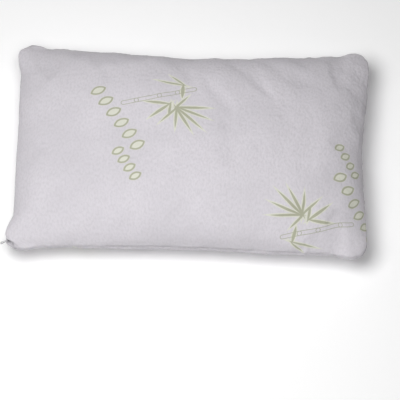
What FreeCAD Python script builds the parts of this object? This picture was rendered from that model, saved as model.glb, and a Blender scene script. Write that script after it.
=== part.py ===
import FreeCAD, Part

import math
import os

import Sketcher

# A bed pillow that lies flat: +X along its length, +Y along its width, +Z up, origin at the centre of the face
# it rests on. The zip of the cover runs along Y in the short side at -X. Lengths are millimetres.
DIMENSIONS = {
    # filled pillow
    "pillow_length": 700.0,
    "pillow_width": 450.0,
    "corner_radius": 26.0,
    "seam_height": 68.0,
    "crown_rise": 81.0,
    "belly_drop": 90.0,
    # cloth layers, each inset from the one outside it
    "cover_cloth": 1.2,
    "liner_cloth": 0.5,
    "liner_inset": 10.2,
    "layer_gap": 0.4,
    "overlock_width": 1.2,
    "overlock_rise": 1.5,
    "cover_overlock_gap": 0.3,
    "liner_overlock_gap": 0.1,
    # care label, blank, hanging from the seam inside the cover
    "label_width": 30.0,
    "label_drop": 15.0,
    "label_cloth": 0.4,
    "label_inset": 6.4,
    "label_lean": 11.0,
    # zip: depths are measured outwards from the outer face of its tapes
    "chain_length": 426.0,
    "chain_recess": 6.5,
    "slot_half": 0.75,
    "tape_width": 10.0,
    "tape_cloth": 0.5,
    "tape_clip": 9.0,
    "coil_width": 2.15,
    "coil_depth": 1.9,
    "coil_round": 0.6,
    "window_half": 5.0,
    "window_spare": 2.5,
    "window_outside": 10.0,
    "tack_length": 1.4,
    "tack_depth": 1.0,
    "tack_half": 3.0,
    "stitch_length": 2.6,
    "stitch_pitch": 3.5,
    "stitch_count": 112.0,
    "stitch_thickness": 0.45,
    "stitch_offset": 6.6,
    "stitch_lift": 0.02,
    # slider
    "slider_length": 15.0,
    "slider_width": 8.8,
    "slider_rear_width": 7.6,
    "slider_clearance": 0.3,
    "plate_thickness": 1.1,
    "flange_thickness": 0.9,
    "post_width": 0.8,
    "post_length": 4.0,
    "post_setback": 0.5,
    "end_clearance": 1.0,
    "crown_length": 8.8,
    "crown_width": 2.6,
    "crown_eye": 2.2,
    "crown_wall": 1.2,
    # pull tab, measured from its pin
    "pull_length": 24.0,
    "pull_width": 8.0,
    "pull_thickness": 1.2,
    "pull_eye": 5.6,
    "pull_arm": 2.0,
    "pull_pin": 1.3,
    "pull_hole": 1.7,
    "pull_rest_angle": 26.0,
}

SECTIONS_PER_HALF = 12
# Share of the full rise at which the crown of a half pillow is closed with a small level face.
CROWN_CLOSED_AT = 0.9995
# The most of its half width that a section's corner radius takes up.
ROUNDEST = 0.95
# Cosine above which two directions count as parallel.
PARALLEL = 0.999

TRAVEL_AXIS = FreeCAD.Vector(0, 1, 0)
HINGE_AXIS = FreeCAD.Vector(0, 0, 1)

# Outer face of the zip tapes, the height of the chain, and half its length.
ZIP_X = "-sizes.pillow_length / 2 + sizes.chain_recess"
ZIP_Z = "sizes.seam_height"
HALF_CHAIN = "sizes.chain_length / 2"
# Depths of the slider's plates and of the pull's pin, outwards from the outer face of the tapes.
INNER_PLATE_TOP = "(sizes.tape_cloth + sizes.slider_clearance)"
OUTER_PLATE_FLOOR = "(sizes.coil_depth + sizes.slider_clearance)"
OUTER_PLATE_TOP = f"({OUTER_PLATE_FLOOR} + sizes.plate_thickness)"
PIN_DEPTH = f"({OUTER_PLATE_TOP} + sizes.crown_eye / 2)"
SLIDER_REST_Y = f"(-{HALF_CHAIN} + sizes.end_clearance + sizes.slider_length / 2)"

doc = FreeCAD.newDocument("bed_pillow")
sheet = doc.addObject("Spreadsheet::Sheet", "sizes")
for row, (alias, value) in enumerate(DIMENSIONS.items(), start=1):
    sheet.set(f"A{row}", alias)
    sheet.set(f"B{row}", str(value))
    sheet.setAlias(f"B{row}", alias)
doc.recompute()


def size(alias):
    """Value of a cell of the sheet."""
    return float(getattr(sheet, alias))


def worked_out(expression):
    """Value of an expression over the sheet."""
    return float(sheet.evalExpression(expression))


def corner_at(inset):
    """Corner radius at an inset from the pillow's outline, never sharper than a third of the outer one."""
    return max(size("corner_radius") - inset, size("corner_radius") / 3)


# ---- soft layers ---------------------------------------------------------------------------------


def inward(rise_share):
    """How far a section has moved in from the seam, from 0 there to 1 at the top, at a share of the full rise.

    It solves rise = 1.5 t - 0.5 t^3, a profile that is steep at the seam and nearly level over the middle.
    """
    return 2 * math.sin(math.asin(rise_share) / 3)


def section(half_length, half_width, radius, z):
    """Level rounded rectangle, as a closed wire of four straights and four arcs."""
    corners = [(1, 1), (-1, 1), (-1, -1), (1, -1)]
    arcs = []
    for quarter, (right, rear) in enumerate(corners):
        centre = FreeCAD.Vector(right * (half_length - radius), rear * (half_width - radius), z)
        points = []
        for eighth in range(3):
            angle = math.pi / 2 * (quarter + eighth / 2)
            points.append(centre + FreeCAD.Vector(math.cos(angle), math.sin(angle), 0) * radius)
        arcs.append(points)
    edges = []
    for quarter, points in enumerate(arcs):
        edges.append(Part.Arc(*points).toShape())
        edges.append(Part.makeLine(points[2], arcs[(quarter + 1) % 4][0]))
    return Part.Wire(edges)


def layer_half(inset, vertical_inset, side):
    """Closed half pillow above (side 1) or below (side -1) the seam plane, inset from the outer surface.

    The lower half ends in a level face, because a pillow's own weight flattens its underside.
    """
    seam = size("seam_height")
    half_length = size("pillow_length") / 2 - inset
    half_width = size("pillow_width") / 2 - inset
    radius = corner_at(inset)
    if side > 0:
        rise = size("crown_rise") - vertical_inset
        last_share = CROWN_CLOSED_AT
    else:
        rise = size("belly_drop") - vertical_inset
        last_share = (seam - vertical_inset) / rise
    last = inward(last_share)
    wires = []
    for i in range(SECTIONS_PER_HALF):
        moved = last * i / (SECTIONS_PER_HALF - 1)
        shrink = math.sqrt(1 - moved**2)
        width_here = half_width * shrink
        corner = min(radius + (width_here - radius) * moved**2, ROUNDEST * width_here)
        level = seam + side * rise * (1.5 * moved - 0.5 * moved**3)
        wires.append(section(half_length * shrink, width_here, corner, level))
    return Part.makeLoft(wires, True, False)


def soft_feature(name, shape):
    """Document object for a soft shape that no sketch or primitive fits."""
    feature = doc.addObject("Part::Feature", name)
    feature.Shape = shape
    feature.Placement = FreeCAD.Placement()
    return feature


def cut_object(name, base, tool):
    """Boolean cut of two document objects."""
    result = doc.addObject("Part::Cut", name)
    result.Base = base
    result.Tool = tool
    return result


def zip_window(name):
    """Box that opens a cover panel over the zip chain and the path of the slider."""
    window = doc.addObject("Part::Box", name)
    reach = "(sizes.chain_recess + 4 * sizes.slider_clearance + 2 * sizes.plate_thickness)"
    window.setExpression("Length", f"{reach} + sizes.window_outside")
    window.setExpression("Width", "sizes.chain_length + 2 * sizes.window_spare")
    window.setExpression("Height", "2 * sizes.window_half")
    window.setExpression("Placement.Base.x", "-sizes.pillow_length / 2 - sizes.window_outside")
    window.setExpression("Placement.Base.y", "-sizes.chain_length / 2 - sizes.window_spare")
    window.setExpression("Placement.Base.z", "sizes.seam_height - sizes.window_half")
    return window


def cover_panel(name, side):
    """One panel of the knitted cover: a cloth-thick dome, open at the zip."""
    cloth = size("cover_cloth")
    shell = layer_half(0.0, 0.0, side).cut(layer_half(cloth, cloth, side))
    blank = soft_feature(f"{name}_cloth", shell)
    return cut_object(name, blank, zip_window(f"{name}_window"))


def liner_panel(name, side):
    """One panel of the plain liner bag inside the cover."""
    inset = size("liner_inset")
    outer_gap = size("cover_cloth") + size("layer_gap")
    cloth = size("liner_cloth")
    shell = layer_half(inset, outer_gap, side).cut(layer_half(inset + cloth, outer_gap + cloth, side))
    return soft_feature(name, shell)


def foam_fill(name):
    """The packed shredded foam as one closed solid of the shape that the liner gives it."""
    inset = size("liner_inset") + size("liner_cloth") + size("layer_gap")
    vertical_inset = size("cover_cloth") + size("liner_cloth") + 2 * size("layer_gap")
    halves = [layer_half(inset, vertical_inset, side) for side in (1, -1)]
    return soft_feature(name, halves[0].fuse(halves[1]))


# ---- sketched pieces -----------------------------------------------------------------------------


def new_body(name, x="0", y="0", z="0"):
    """PartDesign body whose place is bound to the sheet."""
    body = doc.addObject("PartDesign::Body", name)
    body.AllowCompound = True
    for axis, expression in zip("xyz", (x, y, z)):
        if expression != "0":
            body.setExpression(f"Placement.Base.{axis}", expression)
    return body


def origin_feature(body, role):
    """Plane or axis of a body's own origin."""
    return next(f for f in body.Origin.OriginFeatures if f.Role == role)


def new_sketch(body, name, plane):
    """Empty sketch on a plane of its own body."""
    sketch = body.newObject("Sketcher::SketchObject", name)
    sketch.AttachmentSupport = [(origin_feature(body, plane), "")]
    sketch.MapMode = "FlatFace"
    return sketch


def pin_point(sketch, geometry, place, point):
    """Hold a vertex, or a circle's centre, at a point given as two expressions over the sheet."""
    for kind, expression in zip(("DistanceX", "DistanceY"), point):
        value = worked_out(expression)
        index = sketch.addConstraint(Sketcher.Constraint(kind, -1, 1, geometry, place, value))
        sketch.setExpression(f"Constraints[{index}]", expression)


def add_polygon(sketch, points):
    """Closed polygon through points given as pairs of expressions."""
    count = len(points)
    first = sketch.GeometryCount
    corners = [FreeCAD.Vector(worked_out(u), worked_out(v), 0) for u, v in points]
    for i in range(count):
        sketch.addGeometry(Part.LineSegment(corners[i], corners[(i + 1) % count]), False)
    for i in range(count):
        sketch.addConstraint(Sketcher.Constraint("Coincident", first + i, 2, first + (i + 1) % count, 1))
        pin_point(sketch, first + i, 1, points[i])


def add_rectangle(sketch, u0, u1, v0, v1):
    """Rectangle between two expressions each way."""
    add_polygon(sketch, [(u0, v0), (u1, v0), (u1, v1), (u0, v1)])


def add_circle(sketch, centre, radius):
    """Circle with its centre and radius given as expressions."""
    middle = FreeCAD.Vector(worked_out(centre[0]), worked_out(centre[1]), 0)
    index = sketch.addGeometry(Part.Circle(middle, FreeCAD.Vector(0, 0, 1), worked_out(radius)), False)
    pin_point(sketch, index, 3, centre)
    constraint = sketch.addConstraint(Sketcher.Constraint("Radius", index, worked_out(radius)))
    sketch.setExpression(f"Constraints[{constraint}]", radius)


def extruded(body, kind, sketch, length):
    """Pad or pocket of a sketch, even on both sides of its plane."""
    feature = body.newObject(f"PartDesign::{kind}", f"{sketch.Name}_{kind.lower()}")
    feature.Profile = sketch
    feature.setExpression("Length", length)
    feature.SideType = "Symmetric"
    body.Tip = feature
    doc.recompute()
    return feature


def rounded(body, feature, name, radius, picks):
    """Fillet of the edges of a feature that a test picks."""
    wanted = [f"Edge{i}" for i, edge in enumerate(feature.Shape.Edges, start=1) if picks(edge)]
    fillet = body.newObject("PartDesign::Fillet", name)
    fillet.Base = (feature, wanted)
    fillet.setExpression("Radius", radius)
    body.Tip = fillet
    doc.recompute()
    return fillet


def straight_along(edge, axis):
    """Whether an edge is a straight line along an axis of the body."""
    if edge.Curve.TypeId != "Part::GeomLine":
        return False
    return abs(edge.Curve.Direction.dot(axis)) > PARALLEL


def overlock_block(name, inset):
    """Rounded slab whose outline lies at an inset from the pillow's."""
    block = doc.addObject("Part::Box", f"{name}_block")
    block.setExpression("Length", f"sizes.pillow_length - 2 * {inset}")
    block.setExpression("Width", f"sizes.pillow_width - 2 * {inset}")
    block.setExpression("Height", "2 * sizes.overlock_rise")
    block.setExpression("Placement.Base.x", f"-sizes.pillow_length / 2 + {inset}")
    block.setExpression("Placement.Base.y", f"-sizes.pillow_width / 2 + {inset}")
    block.setExpression("Placement.Base.z", "sizes.seam_height - sizes.overlock_rise")
    doc.recompute()
    slab = doc.addObject("Part::Fillet", name)
    slab.Base = block
    radius = corner_at(worked_out(inset))
    edges = enumerate(block.Shape.Edges, start=1)
    slab.Edges = [(i, radius, radius) for i, edge in edges if straight_along(edge, HINGE_AXIS)]
    return slab


def seam_overlock(name, inset):
    """Ring of overlock thread that closes a seam, at an inset from the pillow's outline."""
    outer = overlock_block(f"{name}_outer", inset)
    inner = overlock_block(f"{name}_inner", f"({inset} + sizes.overlock_width)")
    return cut_object(name, outer, inner)


def zipped_seam_overlock(name, inset):
    """Ring of overlock thread that is left open along the zip."""
    ring = seam_overlock(f"{name}_ring", inset)
    opening = doc.addObject("Part::Box", f"{name}_opening")
    opening.setExpression("Length", "sizes.liner_inset + sizes.corner_radius / 2")
    opening.setExpression("Width", "sizes.chain_length + 4 * sizes.window_spare")
    opening.setExpression("Height", "4 * sizes.overlock_rise")
    opening.setExpression("Placement.Base.x", "-sizes.pillow_length / 2")
    opening.setExpression("Placement.Base.y", "-sizes.chain_length / 2 - 2 * sizes.window_spare")
    opening.setExpression("Placement.Base.z", "sizes.seam_height - 2 * sizes.overlock_rise")
    return cut_object(name, ring, opening)


def care_label(name):
    """Blank woven label that hangs from the end seam inside the cover, at +X, and leans along its wall."""
    label = doc.addObject("Part::Box", name)
    label.setExpression("Length", "sizes.label_cloth")
    label.setExpression("Width", "sizes.label_width")
    label.setExpression("Height", "sizes.label_drop")
    label.setExpression("Placement.Base.x", "sizes.pillow_length / 2 - sizes.label_inset - sizes.label_cloth")
    label.setExpression("Placement.Base.y", "-sizes.label_width / 2")
    label.setExpression("Placement.Base.z", "sizes.seam_height - sizes.overlock_rise - sizes.label_drop")
    label.Placement.Rotation = FreeCAD.Rotation(TRAVEL_AXIS, size("label_lean"))
    return label


def zip_tape(name, side):
    """Woven tape beside the chain, with its outer corners clipped where it ends in the corner of the pillow."""
    body = new_body(name, ZIP_X, "0", ZIP_Z)
    sketch = new_sketch(body, f"{name}_outline", "YZ_Plane")
    near = f"{side} * sizes.slot_half"
    far = f"{side} * (sizes.slot_half + sizes.tape_width)"
    clipped = f"{side} * (sizes.slot_half + sizes.tape_width - sizes.tape_clip)"
    end = f"({HALF_CHAIN} + sizes.tack_length)"
    add_polygon(
        sketch,
        [
            (f"-{end}", near),
            (end, near),
            (end, clipped),
            (f"{end} - sizes.tape_clip", far),
            (f"-({end} - sizes.tape_clip)", far),
            (f"-{end}", clipped),
        ],
    )
    pad = body.newObject("PartDesign::Pad", f"{name}_cloth")
    pad.Profile = sketch
    pad.setExpression("Length", "sizes.tape_cloth")
    body.Tip = pad
    return body


def zip_coil(name, side):
    """Coil of one side of the chain as a rounded bar. Its meshing heads are left off the middle slot."""
    body = new_body(name, ZIP_X, "0", ZIP_Z)
    sketch = new_sketch(body, f"{name}_section", "XZ_Plane")
    near = f"{side} * sizes.slot_half"
    far = f"{side} * (sizes.slot_half + sizes.coil_width)"
    add_rectangle(sketch, "-sizes.coil_depth", "0", near, far)
    bar = extruded(body, "Pad", sketch, "sizes.chain_length")
    rounded(
        body,
        bar,
        f"{name}_round",
        "sizes.coil_round",
        lambda edge: straight_along(edge, TRAVEL_AXIS) and edge.CenterOfMass.x < -size("coil_depth") / 2,
    )
    return body


def stitch_row(name, side):
    """Row of stitches through the folded edge of a cover panel and the tape behind it."""
    body = new_body(name, ZIP_X, "0", ZIP_Z)
    sketch = new_sketch(body, f"{name}_stitch", "YZ_Plane")
    start = "(-(sizes.stitch_count - 1) * sizes.stitch_pitch / 2 - sizes.stitch_length / 2)"
    low = f"{side} * sizes.stitch_offset - sizes.stitch_thickness / 2"
    high = f"{side} * sizes.stitch_offset + sizes.stitch_thickness / 2"
    add_rectangle(sketch, start, f"{start} + sizes.stitch_length", low, high)
    face = "-sizes.chain_recess - sizes.stitch_lift"
    sketch.setExpression("AttachmentOffset.Base.z", f"{face} - sizes.stitch_thickness")
    stitch = body.newObject("PartDesign::Pad", f"{name}_one")
    stitch.Profile = sketch
    stitch.setExpression("Length", "sizes.stitch_thickness")
    doc.recompute()
    row = body.newObject("PartDesign::LinearPattern", f"{name}_row")
    row.Originals = [stitch]
    row.Direction = (origin_feature(body, "Y_Axis"), "")
    row.setExpression("Length", "(sizes.stitch_count - 1) * sizes.stitch_pitch")
    row.setExpression("Occurrences", "sizes.stitch_count")
    body.Tip = row
    return body


def end_tack(name, end):
    """Bar tack across both tapes, which stops the slider at one end of the chain."""
    tack = doc.addObject("Part::Box", name)
    tack.setExpression("Length", "sizes.tack_depth")
    tack.setExpression("Width", "sizes.tack_length")
    tack.setExpression("Height", "2 * sizes.tack_half")
    tack.setExpression("Placement.Base.x", f"{ZIP_X} - sizes.tack_depth")
    near = f"{end} * {HALF_CHAIN}"
    tack.setExpression("Placement.Base.y", near if end > 0 else f"{near} - sizes.tack_length")
    tack.setExpression("Placement.Base.z", f"{ZIP_Z} - sizes.tack_half")
    return tack


def slider_plate(body, name, inner_depth, outer_depth):
    """Plate of the slider, wider at the mouth, at -Y, where the two sides of the chain part."""
    sketch = new_sketch(body, name, "YZ_Plane")
    half = "sizes.slider_length / 2"
    mouth = "sizes.slider_width / 2"
    rear = "sizes.slider_rear_width / 2"
    shoulder = "sizes.slider_length / 6"
    add_polygon(
        sketch,
        [
            (f"-{half}", f"-{mouth} + sizes.flange_thickness"),
            (f"-{half} + sizes.flange_thickness", f"-{mouth}"),
            (f"-{shoulder}", f"-{mouth}"),
            (half, f"-{rear}"),
            (half, rear),
            (f"-{shoulder}", mouth),
            (f"-{half} + sizes.flange_thickness", mouth),
            (f"-{half}", f"{mouth} - sizes.flange_thickness"),
        ],
    )
    sketch.setExpression("AttachmentOffset.Base.z", f"-{outer_depth}")
    pad = body.newObject("PartDesign::Pad", f"{name}_pad")
    pad.Profile = sketch
    pad.setExpression("Length", f"{outer_depth} - {inner_depth}")
    body.Tip = pad
    doc.recompute()
    return pad


def slider_body(name):
    """Cast slider: two plates joined by the post that parts the chain, side flanges, and the crown."""
    body = new_body(name, ZIP_X, SLIDER_REST_Y, ZIP_Z)
    slider_plate(body, "outer_plate", OUTER_PLATE_FLOOR, OUTER_PLATE_TOP)
    slider_plate(body, "inner_plate", f"(-{INNER_PLATE_TOP} - sizes.plate_thickness)", f"(-{INNER_PLATE_TOP})")
    for side_name, side in (("upper", 1), ("lower", -1)):
        flange = new_sketch(body, f"{side_name}_flange", "XZ_Plane")
        rim = f"{side} * sizes.slider_rear_width / 2"
        inner = f"{side} * (sizes.slider_rear_width / 2 - sizes.flange_thickness / 2)"
        add_rectangle(flange, f"-{OUTER_PLATE_FLOOR}", "-sizes.slider_clearance", rim, inner)
        extruded(body, "Pad", flange, "sizes.slider_length")
    post = new_sketch(body, "post", "XZ_Plane")
    half_post = "sizes.post_width / 2"
    add_rectangle(post, f"-{OUTER_PLATE_FLOOR}", INNER_PLATE_TOP, f"-{half_post}", half_post)
    to_mouth = "(sizes.slider_length - sizes.post_length) / 2"
    post.setExpression("AttachmentOffset.Base.z", f"{to_mouth} - sizes.post_setback")
    extruded(body, "Pad", post, "sizes.post_length")
    crown = new_sketch(body, "crown", "XY_Plane")
    half_crown = "sizes.crown_length / 2"
    peak = f"({OUTER_PLATE_TOP} + sizes.crown_eye + sizes.crown_wall)"
    add_polygon(
        crown,
        [
            (f"-{OUTER_PLATE_TOP} + sizes.plate_thickness / 2", f"-{half_crown}"),
            (f"-{OUTER_PLATE_TOP} - sizes.crown_eye / 2", f"-{half_crown}"),
            (f"-{peak}", f"-{half_crown} + sizes.crown_wall"),
            (f"-{peak}", f"{half_crown} - sizes.crown_wall"),
            (f"-{OUTER_PLATE_TOP} - sizes.crown_eye / 2", half_crown),
            (f"-{OUTER_PLATE_TOP} + sizes.plate_thickness / 2", half_crown),
        ],
    )
    extruded(body, "Pad", crown, "sizes.crown_width")
    eye = new_sketch(body, "eye", "XY_Plane")
    half_eye = f"({half_crown} - sizes.crown_wall)"
    add_rectangle(eye, f"-{peak} + sizes.crown_wall", f"-{OUTER_PLATE_TOP}", f"-{half_eye}", half_eye)
    extruded(body, "Pocket", eye, "2 * sizes.crown_width")
    return body


def pull_tab(name):
    """Flat pull with a window for the crown, the pin that the crown holds, and a hole near its end."""
    body = new_body(name, f"{ZIP_X} - {PIN_DEPTH}", SLIDER_REST_Y, ZIP_Z)
    body.Placement.Rotation = FreeCAD.Rotation(HINGE_AXIS, size("pull_rest_angle"))
    outline = new_sketch(body, "tab_outline", "XZ_Plane")
    half = "sizes.pull_width / 2"
    straight = "(sizes.pull_length - sizes.pull_width / 2)"
    add_rectangle(outline, f"-{straight}", "0", f"-{half}", half)
    extruded(body, "Pad", outline, "sizes.pull_thickness")
    end = new_sketch(body, "tab_end", "XZ_Plane")
    add_circle(end, (f"-{straight}", "0"), half)
    extruded(body, "Pad", end, "sizes.pull_thickness")
    window = new_sketch(body, "tab_window", "XZ_Plane")
    arm = f"({half} - sizes.pull_arm)"
    add_rectangle(window, "-sizes.pull_eye", "sizes.pull_pin", f"-{arm}", arm)
    extruded(body, "Pocket", window, "4 * sizes.pull_thickness")
    hole = new_sketch(body, "tab_hole", "XZ_Plane")
    add_circle(hole, (f"-{straight}", "0"), "sizes.pull_hole")
    extruded(body, "Pocket", hole, "4 * sizes.pull_thickness")
    pin = new_sketch(body, "tab_pin", "XY_Plane")
    add_circle(pin, ("0", "0"), "sizes.pull_pin / 2")
    extruded(body, "Pad", pin, "sizes.pull_width")
    return body


# ---- the pillow ----------------------------------------------------------------------------------

LINER_SEAM_INSET = "(sizes.liner_inset - sizes.overlock_width - sizes.liner_overlock_gap)"

pieces = [
    cover_panel("cover_top_panel", 1),
    cover_panel("cover_bottom_panel", -1),
    zipped_seam_overlock("cover_seam_overlock", "(sizes.cover_cloth + sizes.cover_overlock_gap)"),
    care_label("care_label"),
    liner_panel("liner_top_panel", 1),
    liner_panel("liner_bottom_panel", -1),
    seam_overlock("liner_seam_overlock", LINER_SEAM_INSET),
    foam_fill("foam_fill"),
    zip_tape("zipper_tape_upper", 1),
    zip_tape("zipper_tape_lower", -1),
    zip_coil("zipper_coil_upper", 1),
    zip_coil("zipper_coil_lower", -1),
    stitch_row("zipper_stitching_upper", 1),
    stitch_row("zipper_stitching_lower", -1),
    end_tack("zipper_end_tack_front", -1),
    end_tack("zipper_end_tack_rear", 1),
    slider_body("zipper_slider_body"),
    pull_tab("zipper_pull_tab"),
]
doc.recompute()

for item in doc.Objects:
    if "Invalid" in item.State or "Error" in item.State:
        raise RuntimeError(f"{item.Label} failed: {item.State}")
for piece in pieces:
    if piece.Shape.isNull() or not piece.Shape.isValid() or piece.Shape.Volume <= 0:
        raise RuntimeError(f"{piece.Label} has no valid shape")

os.makedirs("parts", exist_ok=True)
for piece in pieces:
    piece.Shape.exportStep(f"parts/{piece.Label}.step")
    box = piece.Shape.BoundBox
    print(
        f"{piece.Label:26s} solids {len(piece.Shape.Solids):3d} volume {piece.Shape.Volume:14.2f} "
        f"x {box.XMin:8.2f} {box.XMax:8.2f} y {box.YMin:8.2f} {box.YMax:8.2f} z {box.ZMin:7.2f} {box.ZMax:7.2f}"
    )
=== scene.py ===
import math

import bmesh
import bpy
import numpy as np
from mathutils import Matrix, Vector, noise
from mathutils.bvhtree import BVHTree


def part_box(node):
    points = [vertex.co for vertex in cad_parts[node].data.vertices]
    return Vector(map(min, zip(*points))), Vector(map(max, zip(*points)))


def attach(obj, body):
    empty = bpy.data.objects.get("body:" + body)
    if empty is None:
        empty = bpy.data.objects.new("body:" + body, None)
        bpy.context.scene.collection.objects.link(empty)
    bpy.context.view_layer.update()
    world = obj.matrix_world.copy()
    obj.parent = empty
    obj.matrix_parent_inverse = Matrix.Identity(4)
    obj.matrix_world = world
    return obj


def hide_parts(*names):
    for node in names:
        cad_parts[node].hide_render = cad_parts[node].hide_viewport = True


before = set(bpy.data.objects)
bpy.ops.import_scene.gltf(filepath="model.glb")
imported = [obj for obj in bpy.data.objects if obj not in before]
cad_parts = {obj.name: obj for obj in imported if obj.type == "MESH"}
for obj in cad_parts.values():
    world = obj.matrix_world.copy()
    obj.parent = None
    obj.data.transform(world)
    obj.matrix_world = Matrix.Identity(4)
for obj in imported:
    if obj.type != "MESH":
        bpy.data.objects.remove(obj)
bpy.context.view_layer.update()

# A bed pillow that lies on its underside. Metres, +Z up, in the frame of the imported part.
TOP_LOW, TOP_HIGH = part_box("cover_top_panel")
SEAM_Z = TOP_LOW.z
HALF_LENGTH = TOP_HIGH.x
HALF_WIDTH = TOP_HIGH.y
CROWN = TOP_HIGH.z - SEAM_Z
LINER_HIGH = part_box("liner_top_panel")[1]
LINER_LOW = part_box("liner_bottom_panel")[0]
FOAM_LOW, FOAM_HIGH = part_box("foam_fill")
TAPE_LOW, TAPE_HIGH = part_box("zipper_tape_upper")
TAPE_FACE_X = TAPE_LOW.x
ZIP_HALF = TAPE_HIGH.y
COIL_LOW, COIL_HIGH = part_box("zipper_coil_upper")
STITCH_LOW, STITCH_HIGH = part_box("zipper_stitching_upper")
TACK_LOW, TACK_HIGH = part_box("zipper_end_tack_rear")
LABEL_LOW, LABEL_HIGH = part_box("care_label")

# The two cover panels as they are cut, and the grid that stands for their cloth.
CUT_LENGTH = 0.762
CUT_WIDTH = 0.508
CELLS_LONG = 96
CELLS_WIDE = 64
FINE_LEVELS = 2
# Points and heights at which the cross sections of a filled panel are worked out.
SECTION_POINTS = 400
SECTION_TABLES = 9

# The filled outline: rounded corners that stand out as ears, and sides that pull in between them.
EAR_X = HALF_LENGTH + 0.002
EAR_Y = HALF_WIDTH + 0.004
CORNER_RADIUS = 0.033
ZIP_CORNER_RADIUS = 0.022
BELLY = 0.090
FULLNESS = 0.30
# Long sides and the plain end: how far they step in behind the ears, over what length, and how far they bow in.
SIDE_STEP = 0.009
SIDE_STEP_LENGTH = 0.032
FRONT_BOW = 0.006
REAR_BOW = 0.018
# The rear side bows in further towards the plain end, by this share.
REAR_BOW_SLANT = 1.1
END_STEP = 0.003
END_STEP_LENGTH = 0.050
END_BOW = 0.010
# Corners beside the zip: the cloth puffs out above and below the sunken seam, most at the front.
FRONT_PUFF = 0.020
REAR_PUFF = 0.013
PUFF_LENGTH = 0.063
PUFF_HEIGHT = 0.014
PUFF_SPREAD_IN = 0.0055
PUFF_SPREAD_OUT = 0.020
# Where the puff begins on the way to the zip, from the middle of the pillow, and how long it takes to grow.
PUFF_START = 0.22
PUFF_GROWTH = 0.10
REST_SOFTNESS = 0.006

# The lips of the zip stand a little way outside its coils and apart from each other.
LIP_STAND_OUT = 0.0022
LIP_RISE = 0.0054
LIP_X = TAPE_FACE_X - (COIL_HIGH.x - COIL_LOW.x) - LIP_STAND_OUT
ZIP_END = ZIP_HALF + 0.0016
ZIP_TAPER = 0.0042
# From this openness on, the two panels have a lip each. Below it they share one seam.
ZIP_OPEN = 0.02
# The lips rise over this last share of the way out, and only up to this height over the seam.
LIP_SHARE = 0.2
LIP_HEIGHT = 0.03
# The edge of a lip: how near the lip line it is, and how far from the middle of the channel.
LIP_EDGE_REACH = 0.006
LIP_EDGE_RISE = 0.0004
# How the cloth turns in at a lip: into the pillow, and away from the middle of the channel.
LIP_TURN = [(0.0006, -0.0005), (0.0016, -0.0006), (0.0026, -0.0001), (0.0031, 0.0011), (0.0032, 0.0045)]

# How the cloth settles over the filling.
SETTLE_FRAMES = 24
FILLING_HOLD = 0.05
FILLING_PRESSURE = 0.8
CLOTH_BENDING = 0.5
SEAM_GATHER = 0.05
DRIFT_PASSES = 120
FOLD_LIMIT = 0.0024
FOLD_STRENGTH = 0.7
LIP_CALM = 0.035
# Room over and under the inner layers for the hollows between the lumps of foam.
SPARE_ABOVE = 0.0035
SPARE_BELOW = 0.0017

# Relief of the finished cloth. Noise is given as its depth, wavelength and seed.
FOAM_LUMPS = ((0.0014, 0.090, 1), (0.0006, 0.034, 2))
FOAM_LUMPS_REACH = 0.03
CRINKLE = ((0.00022, 0.0062, 4), (0.00012, 0.0041, 5))
PUCKER_LENGTH = 0.011
PUCKER_SEED = 3
GROOVE_DEPTH = 0.0020
GROOVE_WIDTH = 0.0024
# The turned seam makes a roll beside the groove, higher and lower with the puckers.
ROLL_HEIGHT = 0.0007
ROLL_PUCKER = 0.0004
ROLL_PLACE = 0.0065
ROLL_WIDTH = 0.0040
GATHER_DEPTH = 0.0005
GATHER_REACH = 0.020
RELIEF_CALM = 0.012
# Crumbs of foam, pressed in from the foam's outline.
CRUMB_INSET = 0.0006
CRUMB_DEPTH = 0.0006
CRUMB_SIZE = 0.009
CRUMB_SEED = 6


# ---- meshes ------------------------------------------------------------------------------------------


def smooth_step(value):
    """Smooth ramp from 0 to 1, for numbers and arrays."""
    t = np.clip(value, 0.0, 1.0)
    return t * t * (3 - 2 * t)


def linked(name, data):
    """Object in the scene that shows a mesh, a lamp or a camera."""
    obj = bpy.data.objects.new(name, data)
    bpy.context.scene.collection.objects.link(obj)
    return obj


def new_object(name, vertices, faces):
    """Smooth mesh object."""
    mesh = bpy.data.meshes.new(name)
    mesh.from_pydata([tuple(map(float, v)) for v in vertices], [], faces)
    mesh.update()
    mesh.polygons.foreach_set("use_smooth", [True] * len(mesh.polygons))
    return linked(name, mesh)


def copied(source, name):
    """Object with a mesh of its own, copied from another object's."""
    mesh = source.data.copy()
    mesh.name = name
    return linked(name, mesh)


def read_points(mesh):
    """Vertex positions as an array."""
    points = np.empty(len(mesh.vertices) * 3)
    mesh.vertices.foreach_get("co", points)
    return points.reshape(-1, 3)


def write_points(mesh, points):
    """Sets vertex positions from an array."""
    mesh.vertices.foreach_set("co", points.ravel())
    mesh.update()


def read_normals(mesh):
    """Vertex normals as an array."""
    normals = np.empty(len(mesh.vertices) * 3)
    mesh.vertex_normals.foreach_get("vector", normals)
    return normals.reshape(-1, 3)


def read_cut(mesh):
    """Place of each vertex on the flat cloth, as an array."""
    cut = np.empty(len(mesh.vertices) * 3)
    mesh.attributes["cut"].data.foreach_get("vector", cut)
    return cut.reshape(-1, 3)


def write_cut(mesh, cut):
    """Stores the place of each vertex on the flat cloth."""
    layer = mesh.attributes.get("cut") or mesh.attributes.new("cut", "FLOAT_VECTOR", "POINT")
    layer.data.foreach_set("vector", np.asarray(cut, dtype=np.float32).ravel())


def lumps(points, wavelength, seed):
    """Smooth noise between about -1 and 1 at each point."""
    shift = Vector((seed * 7.31, seed * 3.17, seed * 5.93))
    return np.array([noise.noise(Vector(p) / wavelength + shift) for p in points]) * 2


def layered_lumps(points, layers):
    """Sum of several noises, each with its own depth, wavelength and seed."""
    return sum(depth * lumps(points, wavelength, seed) for depth, wavelength, seed in layers)


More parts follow.
